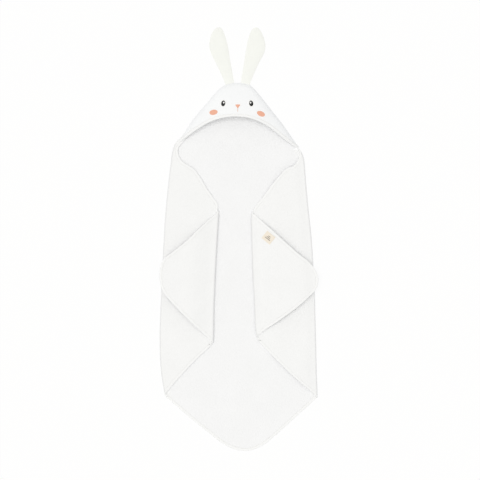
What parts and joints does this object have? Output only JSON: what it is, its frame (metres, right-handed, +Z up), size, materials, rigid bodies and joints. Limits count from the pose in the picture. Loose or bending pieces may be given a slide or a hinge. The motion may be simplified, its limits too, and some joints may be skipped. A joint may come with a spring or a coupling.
{
  "type": "hooded baby towel",
  "caption": "Hooded baby towel laid flat, its side corners folded in and back out; the corner hood has long bunny ears and an embroidered face.",
  "frame": {"origin": "on the surface the towel lies on, under the middle of its bounding box", "axes": "+Y from the bottom corner towards the ears, +X to the right as seen from above, +Z up out of the towel's face"},
  "size_m": [0.4328, 1.1624, 0.0375],
  "materials": {
    "terry": "soft white looped terry cloth",
    "binding": "white cotton binding tape with one line of stitching",
    "lining": "plain white cotton",
    "ear_cloth": "smooth off-white cotton",
    "black_thread": "black satin stitch",
    "white_thread": "white satin stitch",
    "coral_thread": "coral pink satin stitch",
    "label_tape": "cream woven label"
  },
  "bodies": {
    "towel": {"middle_panel": "terry", "bottom_binding": "binding", "hood_panel": "terry", "hood_lining": "lining", "hood_front_binding": "binding", "left_eye": "black_thread", "left_eye_glint": "white_thread", "right_eye": "black_thread", "right_eye_glint": "white_thread", "nose": "coral_thread", "mouth_line": "coral_thread", "left_cheek": "coral_thread", "right_cheek": "coral_thread"},
    "left_ear": {"left_ear_front": "ear_cloth", "left_ear_back": "terry"},
    "right_ear": {"right_ear_front": "ear_cloth", "right_ear_back": "terry"},
    "left_wing": {"left_flap": "terry", "left_flap_upper_binding": "binding", "left_flap_lower_binding": "binding"},
    "left_tip": {"left_corner": "terry", "left_corner_binding": "binding"},
    "right_wing": {"right_flap": "terry", "right_flap_upper_binding": "binding", "right_flap_lower_binding": "binding"},
    "right_tip": {"right_corner": "terry", "right_corner_binding": "binding", "label": "label_tape", "label_stitching": "white_thread"}
  },
  "joints": [
    {"name": "left_wing_fold", "type": "hinge", "parent": "towel", "child": "left_wing", "pos_m": [-0.2013, -0.09036, 0.00475], "axis": [-0.0268, -0.9996, 0], "range_deg": [0, 179]},
    {"name": "left_tip_fold", "type": "hinge", "parent": "left_wing", "child": "left_tip", "pos_m": [-0.0628, -0.10176, 0.00965], "axis": [0.0405, 0.9992, 0], "range_deg": [0, 179]},
    {"name": "right_wing_fold", "type": "hinge", "parent": "towel", "child": "right_wing", "pos_m": [0.1997, -0.09572, 0.00475], "axis": [-0.0507, 0.9987, 0], "range_deg": [0, 179]},
    {"name": "right_tip_fold", "type": "hinge", "parent": "right_wing", "child": "right_tip", "pos_m": [0.0397, -0.09807, 0.00965], "axis": [0.0403, -0.9992, 0], "range_deg": [0, 179]},
    {"name": "left_ear_bend", "type": "hinge", "parent": "towel", "child": "left_ear", "pos_m": [-0.0243, 0.429, 0.008], "axis": [1, 0, 0], "range_deg": [0, 140]},
    {"name": "right_ear_bend", "type": "hinge", "parent": "towel", "child": "right_ear", "pos_m": [0.0177, 0.429, 0.008], "axis": [1, 0, 0], "range_deg": [0, 140]}
  ],
  "couplings": [
    {"joint": "left_tip_fold", "follows": "left_wing_fold", "ratio": 1},
    {"joint": "right_tip_fold", "follows": "right_wing_fold", "ratio": 1}
  ]
}
